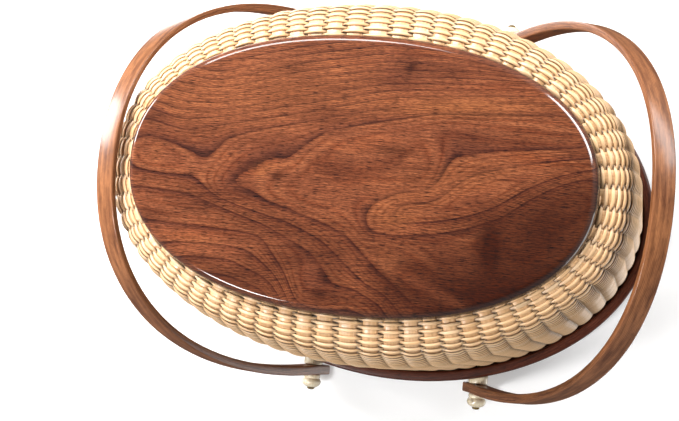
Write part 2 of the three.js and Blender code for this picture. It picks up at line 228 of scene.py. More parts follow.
def add_piece(name, points, material, slot, body, stands_for=(), wrap_rows=False, capped=False, uv=None,
              values=None):
    """Closed surfaces from a grid of points, or a stack of such grids, each joined round its columns.

    wrap_rows joins the last row to the first, and capped closes both end rows on their middle points.
    uv has one more row or column where the grid wraps. values are named numbers, one per grid point.
    """
    rows, columns = points.shape[-3:-1]
    grids = points.reshape(-1, rows * columns, 3)
    row, column = np.meshgrid(np.arange(rows if wrap_rows else rows - 1), np.arange(columns), indexing="ij")
    corner_rows = np.stack([row, row + 1, row + 1, row], axis=-1).reshape(-1, 4)
    corner_columns = np.stack([column, column, column + 1, column + 1], axis=-1).reshape(-1, 4)
    quads = (corner_rows % rows) * columns + corner_columns % columns
    fans = np.zeros((0, 3), int)
    if capped:
        middles = [grids[:, :columns].mean(axis=1), grids[:, -columns:].mean(axis=1)]
        grids = np.concatenate([grids, np.stack(middles, axis=1)], axis=1)
        ring = np.arange(columns)
        following = (ring + 1) % columns
        end = (rows - 1) * columns
        near = np.stack([np.full(columns, rows * columns), ring, following], axis=-1)
        far = np.stack([np.full(columns, rows * columns + 1), end + following, end + ring], axis=-1)
        fans = np.concatenate([near, far])
    triangles = np.concatenate([quads[:, [0, 1, 2]], quads[:, [0, 2, 3]], fans])
    a, b, c = (grids[0][triangles[:, k]] for k in range(3))
    inside_out = np.einsum("ij,ij->i", a, np.cross(b, c)).sum() < 0
    if inside_out:
        quads, fans = quads[:, ::-1], fans[:, ::-1]
        corner_rows, corner_columns = corner_rows[:, ::-1], corner_columns[:, ::-1]

    copies, points_each = grids.shape[:2]
    first_point = points_each * np.arange(copies)[:, None, None]
    all_quads = (quads + first_point).reshape(-1, 4)
    all_fans = (fans + first_point).reshape(-1, 3)
    mesh = bpy.data.meshes.new(name)
    mesh.vertices.add(copies * points_each)
    mesh.vertices.foreach_set("co", grids.astype(np.float32).ravel())
    loops = np.concatenate([all_quads.ravel(), all_fans.ravel()])
    mesh.loops.add(len(loops))
    mesh.loops.foreach_set("vertex_index", loops.astype(np.int32))
    starts = np.concatenate([4 * np.arange(len(all_quads)), all_quads.size + 3 * np.arange(len(all_fans))])
    mesh.polygons.add(len(starts))
    mesh.polygons.foreach_set("loop_start", starts.astype(np.int32))
    mesh.update(calc_edges=True)
    if uv is not None:
        uv = np.broadcast_to(uv, (copies, *uv.shape[-3:]))
        fan_rows = np.where(fans < (rows - 1) * columns, 0, uv.shape[1] - 1)
        fan_columns = np.where(fans < rows * columns, fans % columns, columns // 2)
        quad_uv = uv[:, corner_rows, corner_columns].reshape(-1, 2)
        fan_uv = uv[:, fan_rows, fan_columns].reshape(-1, 2)
        layer = mesh.uv_layers.new(name="UVMap")
        layer.data.foreach_set("uv", np.concatenate([quad_uv, fan_uv]).astype(np.float32).ravel())
    for value_name, grid in (values or {}).items():
        flat = np.broadcast_to(grid, points.shape[:-1]).reshape(copies, -1)
        if capped:
            ends = [flat[:, :columns].mean(axis=1), flat[:, -columns:].mean(axis=1)]
            flat = np.concatenate([flat, np.stack(ends, axis=1)], axis=1)
        layer = mesh.attributes.new(value_name, "FLOAT", "POINT")
        layer.data.foreach_set("value", flat.astype(np.float32).ravel())
    mesh.shade_smooth()
    mesh.materials.append(material)

    piece = bpy.data.objects.new(name, mesh)
    bpy.context.collection.objects.link(piece)
    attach(piece, body)
    if stands_for:
        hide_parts(*stands_for)
    return piece


def linear(colour):
    """A linear RGBA from an sRGB hex string."""
    channels = np.array([int(colour[k:k + 2], 16) for k in (1, 3, 5)]) / 255
    low = channels / 12.92
    high = ((channels + 0.055) / 1.055) ** 2.4
    return (*np.where(channels <= 0.04045, low, high), 1.0)


def feed(tree, node, inputs):
    """Puts a number, a colour or a link on each named socket of a node.

    A node given as an input links from its first output that is in use.
    """
    for key, value in inputs.items():
        socket = node.inputs[key]
        if isinstance(value, bpy.types.Node):
            value = next(output for output in value.outputs if output.enabled)
        if isinstance(value, bpy.types.NodeSocket):
            tree.links.new(value, socket)
        else:
            socket.default_value = value


def add_node(tree, kind, inputs=None, **settings):
    """A new node with its settings and its inputs."""
    made = tree.nodes.new(kind)
    for key, value in settings.items():
        setattr(made, key, value)
    feed(tree, made, inputs or {})
    return made


def add_noise(tree, place, scale, detail):
    """Noise over a place whose axes are scaled first."""
    scaled = add_node(tree, "ShaderNodeMapping", {"Vector": place, "Scale": scale})
    return add_node(tree, "ShaderNodeTexNoise", {"Vector": scaled, "Scale": 1.0, "Detail": detail})


def add_ramp(tree, value, stops):
    """A colour ramp over a value. Each stop is a position and an sRGB hex string."""
    made = add_node(tree, "ShaderNodeValToRGB", {"Fac": value})
    elements = made.color_ramp.elements
    while len(elements) < len(stops):
        elements.new(1)
    for element, (position, colour) in zip(elements, stops):
        element.position = position
        element.color = linear(colour)
    return made


def add_mix(tree, below, above, share, blend_type="MIX"):
    """One colour laid over another by a share."""
    factor, a, b = 0, 6, 7  # a Mix node's sockets for colours
    return add_node(tree, "ShaderNodeMix", {factor: share, a: below, b: above},
                    data_type="RGBA", blend_type=blend_type)


def start_material(name):
    """A new material with its node tree, its principled shader and its texture coordinates."""
    material = bpy.data.materials.new(name)
    material.use_nodes = True
    tree = material.node_tree
    shader = tree.nodes["Principled BSDF"]
    return material, tree, shader, add_node(tree, "ShaderNodeTexCoord")


def lacquered_walnut(name, tones, dark_tone, light_tone, ring_jag, pore_depth, roughness, specular, coat,
                     coat_roughness):
    """Walnut, sawn or steam-bent, sanded and rubbed with satin lacquer.

    Growth rings darken softly to their last line, which comes and goes along its way, with faint finer
    lines between. Fibres and short open pores run along the grain, and broad patches differ in tone. The
    lacquer lays a sheen over it. The piece's own values steer it: figure counts rings, shade darkens towards
    1 and lightens towards -1, and its UV runs along the grain and across it, in metres. The middle one of
    the tones is the wood between two lines.
    """
    fibre_length, fibre_width = 22 * MM, 0.5 * MM
    pore_length, pore_width = 5 * MM, 0.32 * MM  # wider than real pores, so that they show
    jag_length, jag_width = 9 * MM, 1.1 * MM
    patch_length, patch_width = 60 * MM, 16 * MM
    fading_length, fading_width = 34 * MM, 9 * MM
    speck_length, speck_width = 2.4 * MM, 0.4 * MM
    fine_lines = 4  # between two growth lines
    faint_line = 0.4  # strength of a growth line where it fades
    fibre_share, speck_share, patch_share = 0.8, 0.6 * pore_depth, 0.9 * pore_depth
    bump_strength, bump_height = 0.12, 0.1 * MM
    material, tree, shader, place = start_material(name)
    figure = add_node(tree, "ShaderNodeAttribute", attribute_name="figure").outputs["Fac"]
    shade = add_node(tree, "ShaderNodeAttribute", attribute_name="shade").outputs["Fac"]

    def grain_noise(length, width, detail):
        return add_noise(tree, place.outputs["UV"], (1 / length, 1 / width, 1 / width), detail)

    def tinted(below, tone, share):
        return add_mix(tree, below, tone, share, "MULTIPLY")

    jag = grain_noise(jag_length, jag_width, detail=3.0)
    jagged = add_node(tree, "ShaderNodeMath", {0: jag, 1: ring_jag, 2: figure}, operation="MULTIPLY_ADD")
    ring = add_node(tree, "ShaderNodeMath", {0: jagged}, operation="FRACT")
    ring_tone = add_ramp(tree, ring, tones)
    fine_count = add_node(tree, "ShaderNodeMath", {0: jagged, 1: fine_lines}, operation="MULTIPLY")
    fine = add_node(tree, "ShaderNodeMath", {0: fine_count}, operation="FRACT")
    fine_stops = [(0.0, "#DDCABE"), (0.25, "#FFFFFF"), (0.6, "#FFFFFF"), (1.0, "#C4AC9E")]
    fine_tone = add_ramp(tree, fine, fine_stops)
    fading = grain_noise(fading_length, fading_width, detail=2.0)
    strength = add_node(tree, "ShaderNodeMapRange", {
        "Value": fading, "From Min": 0.35, "From Max": 0.62, "To Min": faint_line, "To Max": 1.0,
    })
    between_lines = linear(tones[len(tones) // 2][1])
    ringed = add_mix(tree, between_lines, ring_tone, strength)
    lined = tinted(ringed, fine_tone, strength)
    patch = grain_noise(patch_length, patch_width, detail=2.0)
    patch_tone = add_ramp(tree, patch, [(0.3, "#C4B4AC"), (0.55, "#FFFFFF"), (0.75, "#FFF0DC")])
    patched = tinted(lined, patch_tone, patch_share)
    # shade darkens and lightens the wood; on the base board it also holds painted shade on the lower edge
    darkened = add_mix(tree, patched, linear(dark_tone), shade)
    paleness = add_node(tree, "ShaderNodeMath", {0: shade, 1: -1.0}, operation="MULTIPLY")
    lightened = add_mix(tree, darkened, linear(light_tone), paleness)
    fibre = grain_noise(fibre_length, fibre_width, detail=4.0)
    fibre_tone = add_ramp(tree, fibre, [(0.32, "#8E776C"), (0.62, "#FFFFFF")])
    fibred = tinted(lightened, fibre_tone, fibre_share)
    speck = grain_noise(speck_length, speck_width, detail=2.0)
    speck_tone = add_ramp(tree, speck, [(0.38, "#7C675C"), (0.58, "#FFFFFF")])
    specked = tinted(fibred, speck_tone, speck_share)
    pore = grain_noise(pore_length, pore_width, detail=2.0)
    pore_tone = add_ramp(tree, pore, [(0.36, "#66524A"), (0.46, "#FFFFFF")])
    pored = tinted(specked, pore_tone, pore_depth)
    bump = add_node(tree, "ShaderNodeBump", {
        "Height": pore_tone, "Strength": bump_strength, "Distance": bump_height,
    })
    feed(tree, shader, {
        "Base Color": pored, "Normal": bump, "Roughness": roughness, "IOR": 1.5,
        "Specular IOR Level": specular, "Coat Weight": coat, "Coat Roughness": coat_roughness,
    })
    return material


def split_cane(name, tones, tuck_shade_tone, fibre_length, fibre_count, roughness):
    """Split and peeled cane, scraped smooth and lightly lacquered.

    Cream to straw, each length a little different, with faint fibres along it. Painted shade darkens it
    where it dives behind a neighbour or lies in the weave's shade. The painted shade value is 0 on the
    crest and 1 where it is hidden.
    """
    tone_length, tone_across = 160 * MM, 0.4  # a strip's width spans less than half a change of tone
    fibre_share = 0.7
    bump_strength, bump_height = 0.15, 0.1 * MM
    material, tree, shader, place = start_material(name)
    surface = place.outputs["UV"]
    tuck_shade = add_node(tree, "ShaderNodeAttribute", attribute_name="tuck_shade").outputs["Fac"]
    length_noise = add_noise(tree, surface, (1 / tone_length, tone_across, 1), detail=3.0)
    length_tone = add_ramp(tree, length_noise, tones)
    fibre = add_noise(tree, surface, (1 / fibre_length, fibre_count, 1), detail=2.0)
    fibre_tone = add_ramp(tree, fibre, [(0.3, "#DCCDB4"), (0.6, "#FFFFFF")])
    fibred = add_mix(tree, length_tone, fibre_tone, fibre_share, "MULTIPLY")
    # painted shade of the weave laid over the cane's own colour
    tuck_shaded = add_mix(tree, fibred, linear(tuck_shade_tone), tuck_shade)
    bump = add_node(tree, "ShaderNodeBump", {
        "Height": fibre, "Strength": bump_strength, "Distance": bump_height,
    })
    feed(tree, shader, {
        "Base Color": tuck_shaded, "Normal": bump, "Roughness": roughness, "IOR": 1.5, "Coat Weight": 0.15,
        "Coat Roughness": 0.2,
    })
    return material


def polished_bone():
    """Bone, turned and polished: ivory with faint streaks along the knob and a close, waxy gloss."""
    streak_width, streak_length = 0.9 * MM, 9 * MM
    material, tree, shader, place = start_material("turned_polished_bone")
    scale = (1 / streak_width, 1 / streak_length, 1 / streak_width)
    streak = add_noise(tree, place.outputs["Object"], scale, detail=3.0)
    tone = add_ramp(tree, streak, [(0.25, "#D8BF92"), (0.45, "#EADABA"), (0.8, "#F4EBD6")])
    feed(tree, shader, {
        "Base Color": tone, "Roughness": 0.3, "IOR": 1.54, "Coat Weight": 0.4, "Coat Roughness": 0.12,
    })
    return material


def peened_brass():
    """Brass pin ends, hammered over and dulled: brown-gold with darker patches and small dents."""
    patch_size, dent_size, dent_depth = 1.4 * MM, 0.6 * MM, 0.1 * MM
    material, tree, shader, place = start_material("peened_dulled_brass")
    spot = place.outputs["Object"]
    patch = add_node(tree, "ShaderNodeTexNoise", {"Vector": spot, "Scale": 1 / patch_size, "Detail": 3.0})
    tone = add_ramp(tree, patch, [(0.35, "#5E4A2C"), (0.65, "#A68B55")])
    rough = add_node(tree, "ShaderNodeMapRange", {"Value": patch, "To Min": 0.5, "To Max": 0.25})
    dent = add_node(tree, "ShaderNodeTexVoronoi", {"Vector": spot, "Scale": 1 / dent_size})
    bump = add_node(tree, "ShaderNodeBump", {"Height": dent, "Strength": 0.2, "Distance": dent_depth})
    feed(tree, shader, {"Base Color": tone, "Roughness": rough, "Normal": bump, "Metallic": 1.0})
    return material


base_walnut = lacquered_walnut(
    "flat_sawn_walnut_satin_lacquer",
    tones=[
        (0.0, "#7D452A"), (0.1, "#9A5B38"), (0.5, "#985937"),
        (0.78, "#894D30"), (0.92, "#5C2E1E"), (1.0, "#4C2518"),
    ],
    dark_tone="#3C1200", light_tone="#BC7442", ring_jag=0.06, pore_depth=0.9,
    roughness=0.5, specular=0.08, coat=0.85, coat_roughness=0.06,
)
rim_walnut = lacquered_walnut(
    "steam_bent_dark_walnut_satin_lacquer",
    tones=[(0.0, "#66321F"), (0.4, "#743C26"), (0.85, "#62301E"), (1.0, "#3E1D12")],
    dark_tone="#2E1610", light_tone="#7A4430", ring_jag=0.6, pore_depth=0.5,
    roughness=0.45, specular=0.25, coat=0.25, coat_roughness=0.2,
)
handle_walnut = lacquered_walnut(
    "steam_bent_walnut_satin_lacquer",
    tones=[(0.0, "#9C6640"), (0.4, "#A36C45"), (0.85, "#9C6640"), (1.0, "#8A5836")],
    dark_tone="#4A2A1C", light_tone="#B87848", ring_jag=0.6, pore_depth=0.2,
    roughness=0.45, specular=0.2, coat=0.45, coat_roughness=0.2,
)
# the darkest tone given to each cane is painted shade, near black in the weaver's holes
weaver_cane = split_cane(
    "split_peeled_cane_weaver",
    tones=[(0.25, "#E6B784"), (0.5, "#F2C99A"), (0.75, "#F8DAB6")], tuck_shade_tone="#30170B",
    fibre_length=25 * MM, fibre_count=9, roughness=0.38,
)
stave_cane = split_cane(
    "flat_peeled_cane_stave",
    tones=[(0.25, "#DDAC78"), (0.5, "#E8BD8E"), (0.75, "#F0CEA8")], tuck_shade_tone="#74492A",
    fibre_length=40 * MM, fibre_count=14, roughness=0.36,
)
bone = polished_bone()
brass = peened_brass()


# Base board

GROWTH_LINES = [
    # ring number, then places along that growth line in mm, as the photographed board shows them
    (0, [(-72, -46), (-30, -57), (10, -64), (50, -62), (80, -56)]),
    (5, [(-92, -25), (-74, -26), (-57, -29), (-36, -35), (-16, -39), (3, -43), (15, -45), (45, -47),
         (84, -49)]),
    (7, [(-107, -19), (-94, -16), (-86, -15), (-65, -20), (-36, -26), (-15, -31), (5, -36), (19, -39),
         (60, -42), (100, -44)]),
    (8, [(-77, 4), (-73, -3), (-68, -7), (-66, -12), (-49, -18), (-20, -25), (5, -31), (50, -38),
         (100, -41)]),
    (9, [(100, -35), (60, -33), (37, -32), (6, -25), (-14, -20), (-22, -14), (-32, -4), (-42, -3),
         (-49, 3), (-50, 7), (-48, 12), (-43, 16), (-32, 19), (-9, 26), (2, 31), (13, 42), (36, 60)]),
    (8, [(-110, 6), (-97, 7), (-84, 7), (-77, 10), (-69, 17), (-55, 21), (-30, 26), (-13, 33), (0, 43),
         (12, 53)]),
    (7, [(-109, 14), (-83, 16), (-65, 21), (-43, 28), (-24, 36), (-16, 40), (-9, 47), (-4, 54), (6, 55),
         (20, 62)]),
    (6, [(-101, 31), (-76, 32), (-50, 33), (-43, 34), (-37, 41), (-29, 51), (-23, 63)]),
    (4, [(-79, 47), (-58, 47), (-37, 55), (-29, 64)]),
    (10, [(108, -20), (89, -18), (70, -16), (56, -13), (47, -10), (44, -2), (39, 5), (24, 8), (14, 13),
          (9, 18), (11, 26), (18, 29), (30, 27), (47, 24), (58, 21), (73, 15), (87, 4), (99, -3), (112, -8)]),
    (11.4, [(113, -12), (99, -9), (87, -4), (80, 0), (70, 7), (58, 13), (41, 17), (27, 16)]),
    (9.45, [(-22, -6), (-8, 2), (5, 0), (20, -8), (33, -18)]),
    (9.6, [(31, 29), (44, 33), (56, 41), (69, 52)]),
    (9.2, [(18, 31), (32, 37), (47, 46), (61, 57)]),
    (9.4, [(69, 22), (69, 28), (71, 34), (74, 42)]),
    (9.2, [(110, 10), (99, 15), (87, 19), (79, 22)]),
]
SHADE_PATCHES = [
    # middle x, y, half length, half width in mm, turn in degrees, darkening (below zero lightens)
    (85, -22, 28, 4, -4, 0.3),
    (100, 8, 26, 12, -33, 0.45),
    (69, 27, 4, 8, 0, 0.45),
    (98, 46, 46, 27, -20, 0.86),
    (2, 15, 9, 5, 60, 0.12),
    (-38, 4, 2.6, 1.6, 0, 0.9),
    (-44, 2, 4, 3, 0, -0.3),
    (19, -13, 6, 2.2, 0, 0.6),
    (21, -56, 5, 8, 0, 0.4),
    (24, -54, 1.5, 2.5, 30, 0.7),
    (-107, -20, 5, 3, 0, 0.6),
    (-102, -3, 5.5, 7.5, 0, 0.4),
    (-102, -3, 3.4, 5, 0, -0.6),
    (-11, 60, 3, 2, 0, 0.6),
    (-60, 57, 26, 7, 8, 0.45),
    (20, 52, 60, 14, 10, 0.5),
    (-60, 24, 40, 6, 10, 0.2),
    (62, -2, 42, 8, -18, -0.25),
    (22, 22, 10, 5, 0, -0.3),
    (50, -37, 28, 3.5, -3, -0.45),
    (-72, 41, 18, 5, 8, -0.3),
    (-15, 52, 3, 8, -15, -0.35),
    (6, 50, 7, 5, 40, -0.35),
    (38, 50, 20, 2, 22, -0.45),
    (-55, -38, 48, 12, -10, -0.25),
]


def places_along(line, spacing):
    """Places at equal spacing along a line of straight runs."""
    corners = np.array(line, float)
    reach = lengths_along(corners)
    stops = np.linspace(0, reach[-1], int(reach[-1] / spacing) + 1)
    return np.column_stack([np.interp(stops, reach, corners[:, 0]), np.interp(stops, reach, corners[:, 1])])


def base_figure(x, y):
    """Ring count of the flat-sawn board: a thin plate bent over the growth lines.

    The plate is a plane plus a weighted sum of r^2 log r^2 over the lines' places, and the weights solve
    for the ring numbers there, eased a little so that the lines stay smooth.
    """
    spacing = 5  # mm between places along a line
    ease = 40
    least_square = 1e-6  # keeps the logarithm finite
    lines = [(ring, places_along(line, spacing)) for ring, line in GROWTH_LINES]
    pins = np.concatenate([places for _, places in lines])
    rings = np.concatenate([np.full(len(places), ring) for ring, places in lines])

    def bend(at_x, at_y):
        square = (at_x[..., None] - pins[:, 0]) ** 2 + (at_y[..., None] - pins[:, 1]) ** 2
        return square * np.log(square + least_square)

    count = len(pins)
    plane = np.column_stack([np.ones(count), pins])
    system = np.zeros((count + 3, count + 3))
    system[:count, :count] = bend(pins[:, 0], pins[:, 1]) + ease * np.eye(count)
    system[:count, count:] = plane
    system[count:, :count] = plane.T
    weights = np.linalg.solve(system, np.concatenate([rings, np.zeros(3)]))
    x, y = x / MM, y / MM
    return bend(x, y) @ weights[:count] + weights[count] + weights[count + 1] * x + weights[count + 2] * y


def base_shade(x, y):
    """Darkening of the board: a sum of Gaussian patches at knots, heartwood and pale streaks, and broad
    ones that make the lower side and the lower right darker and the upper left lighter.
    """
    shade = np.zeros_like(x)
    for middle_x, middle_y, half_length, half_width, turn, darkening in SHADE_PATCHES:
        angle = np.radians(turn)
        off_x, off_y = x / MM - middle_x, y / MM - middle_y
        along = off_x * np.cos(angle) + off_y * np.sin(angle)
        across = off_y * np.cos(angle) - off_x * np.sin(angle)
        shade = shade + darkening * np.exp(-0.5 * ((along / half_length) ** 2 + (across / half_width) ** 2))
    return shade


def make_base_board():
    """Rings of one superellipse: out over the flat underside, round the lower edge, in and out of the
    groove that takes the staves, over the rounded lip and up the low swell of the top.
    """
    steps_round = 360
    flat_steps, edge_steps, lip_steps, dome_steps, top_steps = 80, 14, 7, 12, 22
    flat_middle, top_middle = 0.01, 0.02  # share of the outline at the innermost ring
    flat_shares = np.linspace(flat_middle, 1, flat_steps)[:, None]
    flat_half = (BASE_HALF - BASE_ROUND_INSET) * flat_shares
    underside = np.column_stack([flat_half, np.zeros(len(flat_half))])
    edge_radii = (BASE_ROUND_INSET, BASE_ROUND_HEIGHT)
    edge = arc(-90, 0, (-BASE_ROUND_INSET, BASE_ROUND_HEIGHT), edge_radii, edge_steps)[1:]
    groove = np.array([
        (0, GROOVE_LOW - GROOVE_EASE), (-GROOVE_EASE, GROOVE_LOW), (-GROOVE_DEPTH, GROOVE_LOW),
        (-GROOVE_DEPTH, GROOVE_HIGH), (-LIP_INSET, GROOVE_HIGH),
    ])
    lip = arc(0, 90, (-LIP_INSET - LIP_ROUND, LIP_TOP - LIP_ROUND), (LIP_ROUND, LIP_ROUND), lip_steps)
    sides = np.concatenate([edge, groove, lip])
    side_rings = np.column_stack([BASE_HALF[0] + sides[:, 0], BASE_HALF[1] + sides[:, 0], sides[:, 1]])
    dome_shares = np.linspace(0, 1, dome_steps)[1:, None]
    dome_half = side_rings[-1, :2] - dome_shares * (DOME_INSET - LIP_INSET - LIP_ROUND)
    dome_height = LIP_TOP + (base_high.z - LIP_TOP) * smoothstep(dome_shares, 0, 1)
    dome = np.column_stack([dome_half, dome_height])
    top_shares = np.linspace(1, top_middle, top_steps)[1:, None]
    top = np.column_stack([dome_half[-1] * top_shares, np.full(len(top_shares), base_high.z)])
    rings = np.concatenate([underside, side_rings, dome, top])
    angle = full_turn(steps_round)
    x, y = oval(angle[None, :], rings[:, None, :2], BASE_POWER)
    z = np.broadcast_to(rings[:, None, 2], x.shape)
    points = np.stack([x, y, z], axis=-1)
    figure = base_figure(x, y + RING_SLOPE * z)
    grain = np.stack([x, y + RING_PULL * figure], axis=-1)
    # a deeper finish and painted shade darken the rounded lower edge
    stain_and_shade = EDGE_STAIN_AND_SHADE * smoothstep(z, EDGE_STAIN_AND_SHADE_LOW, EDGE_STAIN_AND_SHADE_HIGH)
    return add_piece(
        "base_board", points, base_walnut, "walnut_base", "basket", ["base_plate"], capped=True,
        uv=np.concatenate([grain, grain[:, :1]], axis=1),
        values={"figure": figure, "shade": base_shade(x, y) + stain_and_shade},
    )


# Woven wall

def wall_profile():
    """Length up the wall from the base board's edge, with the share of the outward growth and the height.

    The wall turns up round a quarter ellipse, leans out over a soft belly, 1 - (1 - rise / belly height) ^
    power, runs nearly straight to the hoops and stands upright there.
    """
    corner_steps, upper_steps = 100, 140
    turn = np.linspace(0, np.pi / 2, corner_steps)
    corner_z = WALL_FOOT + WALL_CORNER_HEIGHT * (1 - np.cos(turn))
    upper_z = np.linspace(corner_z[-1], hoop_low.z, upper_steps)[1:]
    z = np.concatenate([corner_z, upper_z, [wall_high.z]])
    corner = np.concatenate([np.sin(turn), np.ones(len(upper_z) + 1)])
    rise = z - WALL_FOOT
    belly = 1 - (1 - np.clip(rise / WALL_BELLY_HEIGHT, 0, 1)) ** WALL_BELLY_POWER
    flare = np.clip(rise / (hoop_low.z - WALL_FOOT), 0, 1)
    flare_share = 1 - WALL_CORNER_SHARE - WALL_BELLY_SHARE
    share = WALL_CORNER_SHARE * corner + WALL_BELLY_SHARE * belly + flare_share * flare
    growth = (WALL_TOP_HALF - WALL_THICKNESS / 2 - BASE_HALF).mean()
    climb = np.concatenate([[0], np.cumsum(np.hypot(np.diff(share) * growth, np.diff(z)))])
    return climb, share, z


profile_climb, profile_share, profile_z = wall_profile()
TABLE_STEPS = 2049  # round the wall's top edge, to find the angle at a share of its length
table_angle = np.linspace(0, 2 * np.pi, TABLE_STEPS)
table_x, table_y = oval(table_angle, WALL_TOP_HALF - WALL_THICKNESS / 2)
table_length = np.concatenate([[0], np.cumsum(np.hypot(np.diff(table_x), np.diff(table_y)))])
table_turn = table_length / table_length[-1]


def wall_point(turn, climb):
    """A point on the wall's middle: turn is the share of the way round the wall's top edge, and climb the
    length up the wall. Below zero, climb goes straight into the groove.
    """
    angle = np.interp(turn % 1, table_turn, table_angle)
    share = np.interp(climb, profile_climb, profile_share)[..., None]
    inset = np.minimum(climb, 0)[..., None]
    half = BASE_HALF + share * (WALL_TOP_HALF - WALL_THICKNESS / 2 - BASE_HALF) + inset
    power = BASE_POWER + share[..., 0] * (RIM_POWER - BASE_POWER)
    x, y = oval(angle, half, power)
    return np.stack([x, y, np.interp(climb, profile_climb, profile_z)], axis=-1)


def unit(vectors):
    """Vectors of length 1."""
    return vectors / np.linalg.norm(vectors, axis=-1, keepdims=True)


def wall_axes(turn, climb):
    """The wall's own directions at a point: round it, up it and out of it."""
    turn_step, climb_step = 0.0008, 1.2 * MM
    round_way = unit(wall_point(turn + turn_step, climb) - wall_point(turn - turn_step, climb))
    up_way = unit(wall_point(turn, climb + climb_step) - wall_point(turn, climb - climb_step))
    return round_way, up_way, unit(np.cross(round_way, up_way))


def make_staves():
    """Lens-shaped strips up the wall at equal shares of its top edge, from the groove to the rim's cap."""
    across = np.linspace(-1, 1, 7)
    thick = STAVE_EDGE_THICKNESS + (STAVE_THICKNESS - STAVE_EDGE_THICKNESS) * (1 - across ** 2)
    outline_across = np.concatenate([across, across[::-1]])
    outline_out = np.concatenate([thick, -thick[::-1]]) / 2
    dense_climb = 40 * MM  # closer steps below this, where the wall bends
    dense_steps, upper_steps = 40, 30
    climb = np.concatenate([
        np.linspace(-STAVE_FOOT, dense_climb, dense_steps),
        np.linspace(dense_climb, profile_climb[-1] - GAP, upper_steps)[1:],
    ])
    stave = np.arange(STAVES)
    index, rows, columns = np.meshgrid(stave, climb, outline_across, indexing="ij")
    turn = index / STAVES + columns * STAVE_WIDTH_SHARE / (2 * STAVES)
    out_way = wall_axes(turn, rows)[2]
    points = wall_point(turn, rows) + outline_out[:, None] * out_way
    girth = np.linspace(0, 1, len(outline_across) + 1)
    stave_uv, climb_uv, across_uv = np.meshgrid(stave, climb, girth, indexing="ij")
    uv = np.stack([climb_uv + stave_uv, across_uv], axis=-1)
    # painted shade of the weave on the staves, deeper up the wall
    tuck_shade = smoothstep(rows, STAVE_DARK_LOW, STAVE_DARK_HIGH)
    return points, uv, tuck_shade


def make_weaver():
    """One strip of cane spiralling up the wall, in front of one stave and behind the next.

    q counts staves along the strip. Its middle stands out by the swing times c (1 + f - f c^2), with
    c = cos(pi q) and f the flattening, and climbs one row pitch per turn. The section is a flat eight-sided
    lens, narrower where it dives between two staves. Painted shade darkens it where it lies behind a stave,
    beside the hole at each crossing and, up the wall, along both its edges.
    """
    steps_per_stave = 6
    dive_depth, dive_start, dive_end = 0.85, -0.1, 0.4
    crossing_reach = 0.45
    hole_start, hole_spread = 0.2, 0.5
    low_shadow, shadow_start, shadow_end = 0.15, 8 * MM, 30 * MM
    dice = np.random.default_rng(SEED)
    rows = int((profile_climb[-2] - FIRST_ROW) / ROW_PITCH)
    count = rows * STAVES * steps_per_stave + 1
    q = np.arange(count) / steps_per_stave
    wobble = np.interp(q, np.arange(rows * STAVES + 1), dice.normal(0, WEAVER_WOBBLE, rows * STAVES + 1))
    climb = FIRST_ROW + ROW_PITCH * q / STAVES + wobble
    turn = q / STAVES
    wave = np.cos(np.pi * q)
    swing = WEAVER_SWING * wave * (1 + WEAVER_FLATTENING - WEAVER_FLATTENING * wave ** 2)
    _, up_way, out_way = wall_axes(turn, climb)
    middle = wall_point(turn, climb) + swing[:, None] * out_way
    along = unit(np.gradient(middle, axis=0))
    face = unit(np.cross(along, up_way))
    edge = np.cross(face, along)

    half_thick = WEAVER_THICKNESS / 2
    section_wide = np.array([1.0, 0.85, 0.45, -0.45, -0.85, -1.0, -0.6, 0.6])
    section_out = np.array([-0.1, 0.5, 0.92, 0.92, 0.5, -0.1, -0.8, -0.8]) * half_thick
    section_edge = np.array([1.0, 0.6, 0.0, 0.0, 0.6, 1.0, 0.0, 0.0])
    section_faces = np.array([1, 1, 1, 1, 1, 1, -1, -1])  # 1 faces out of the basket, -1 into it
    width = WEAVER_TUCKED_WIDTH + (WEAVER_WIDTH - WEAVER_TUCKED_WIDTH) * np.sqrt(np.abs(wave))
    half_wide = width / 2
    points = (
        middle[:, None]
        + (half_wide[:, None] * section_wide)[..., None] * edge[:, None]
        + (section_out * np.ones((count, 1)))[..., None] * face[:, None]
    )
    length = lengths_along(middle)
    uv = np.stack(np.meshgrid(length, np.linspace(0, 1, len(section_wide) + 1), indexing="ij"), axis=-1)
    # painted shade: dark where the strand lies behind a stave, beside each crossing's hole, and along its
    # edges up the wall
    dive_shade = dive_depth * smoothstep(-wave[:, None] * section_faces, dive_start, dive_end)
    crossing = 1 - smoothstep(np.abs(wave), 0, crossing_reach)
    diving_side = np.where(np.sin(np.pi * q) > 0, 1, -1)  # the edge beside the hole at a crossing
    hole_shade = np.clip((diving_side[:, None] * section_wide - hole_start) / hole_spread, 0, 1)
    row_shadow = low_shadow + (1 - low_shadow) * smoothstep(climb, shadow_start, shadow_end)
    shadow = np.maximum(crossing[:, None] * hole_shade, row_shadow[:, None] * section_edge)
    tuck_shade = 1 - (1 - dive_shade) * (1 - shadow)
    cuts = np.linspace(0, count - 1, WEAVER_PIECES + 1).astype(int)
    for first, last in zip(cuts[:-1], cuts[1:]):
        part = slice(first, last + 1)
        yield points[part], uv[part], tuck_shade[part]


def make_wall():
    """The weaver in equal lengths and the staves, which together stand for the wall."""
    for index, (points, uv, tuck_shade) in enumerate(make_weaver()):
        add_piece(
            f"cane_weaver_{index + 1}", points, weaver_cane, "cane_weave", "basket",
            ["woven_wall"] if index == 0 else (), capped=True, uv=uv, values={"tuck_shade": tuck_shade},
        )
    points, uv, tuck_shade = make_staves()
    add_piece("cane_staves", points, stave_cane, "cane_weave", "basket", capped=True, uv=uv,
              values={"tuck_shade": tuck_shade})


# Rim

